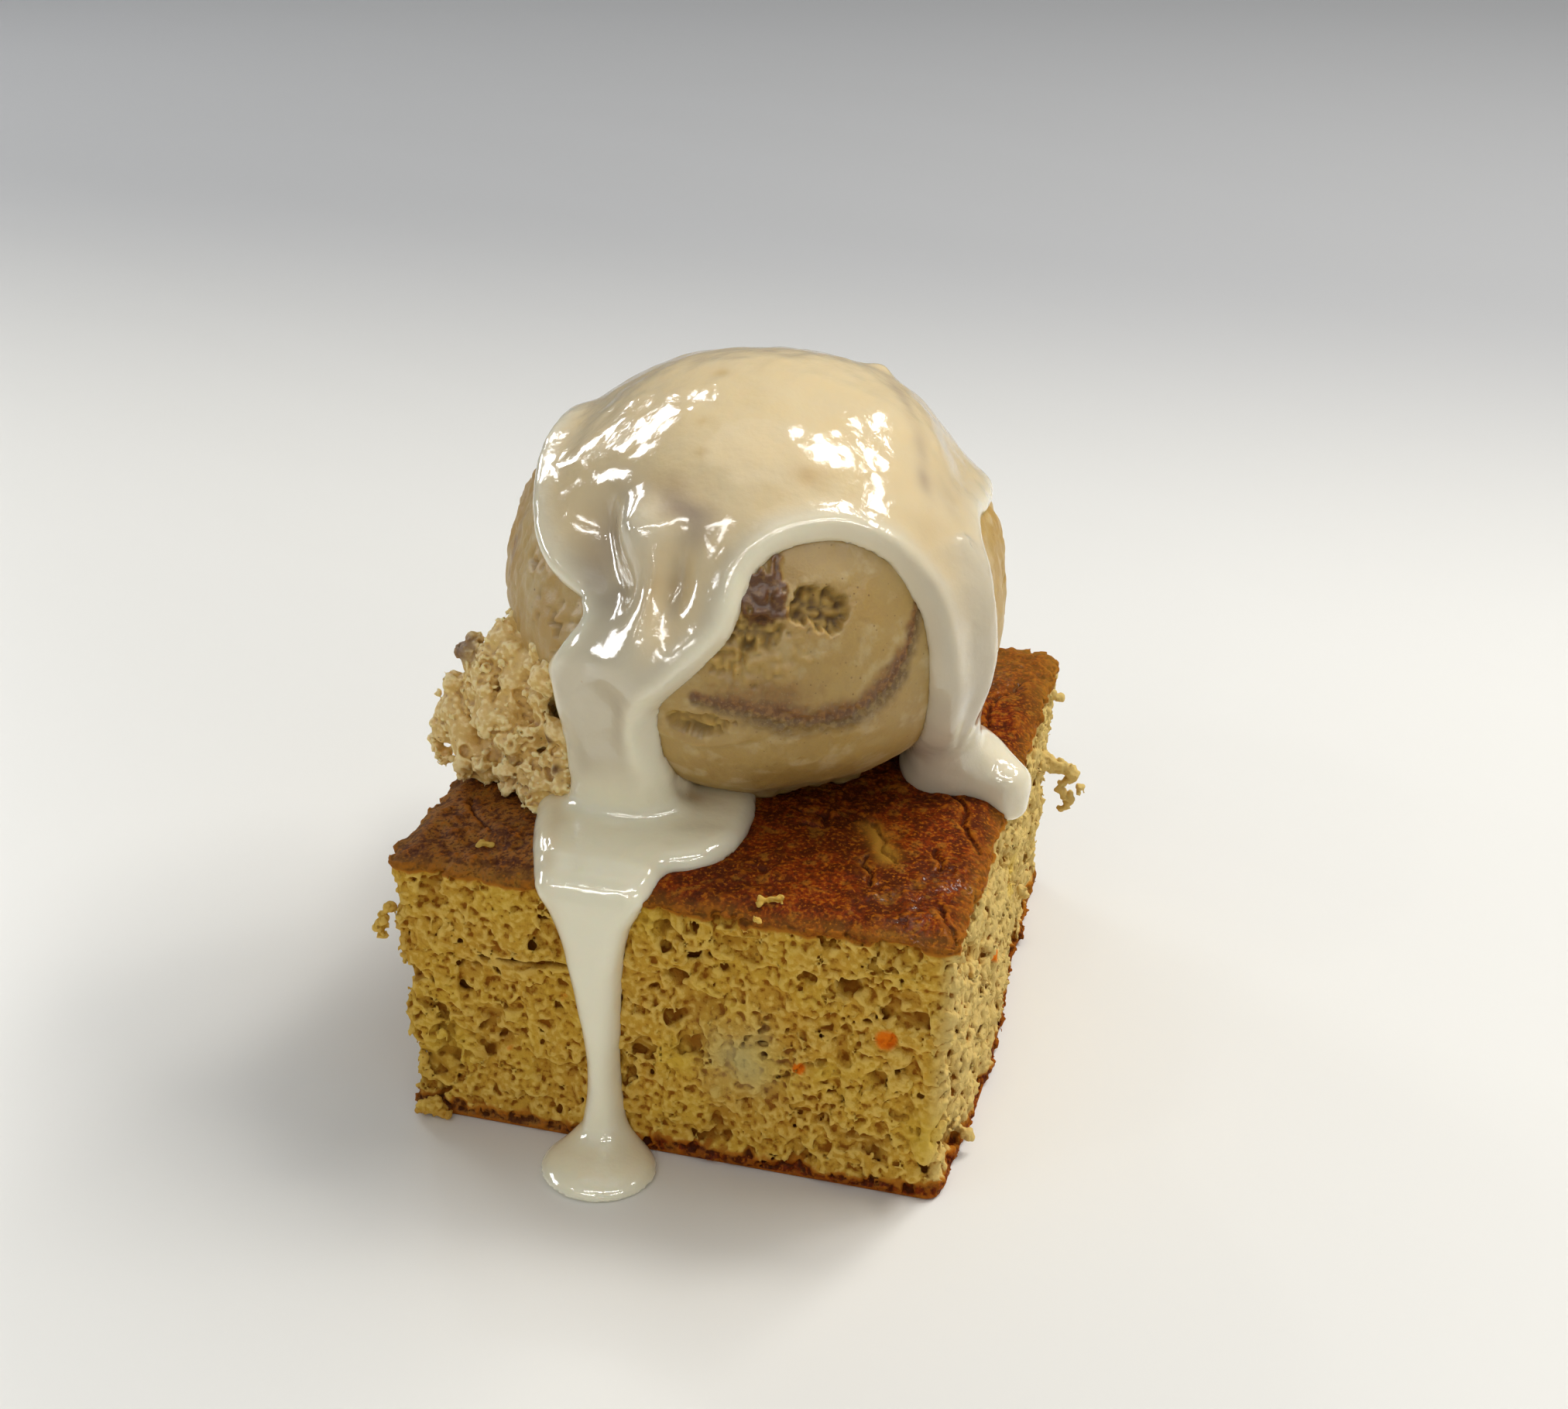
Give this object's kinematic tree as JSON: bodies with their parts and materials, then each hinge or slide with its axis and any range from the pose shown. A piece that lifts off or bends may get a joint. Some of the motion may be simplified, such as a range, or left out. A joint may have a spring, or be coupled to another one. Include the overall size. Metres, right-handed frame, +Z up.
{
  "type": "dump cake",
  "caption": "Cut square of sheet cake under a scoop of swirled ice cream with a torn lump beside it and poured icing that drips to the foot.",
  "frame": {"origin": "middle of the cake's underside, on the surface that it stands on", "axes": "+Z up, -Y out of the front cut face that the icing drips down, +X out of the right cut face"},
  "size_m": [0.0833, 0.1002, 0.1001],
  "materials": {
    "cake": "open yellow sponge under a brown crust",
    "ice_cream": "smooth soft satin with a cinnamon swirl",
    "torn_ice_cream": "crumbly and matt",
    "icing": "wet gloss, a warm white"
  },
  "bodies": {
    "root": {"cake": "cake", "ice_cream_scoop": "ice_cream", "ice_cream_lump": "torn_ice_cream", "icing": "icing"}
  },
  "joints": []
}
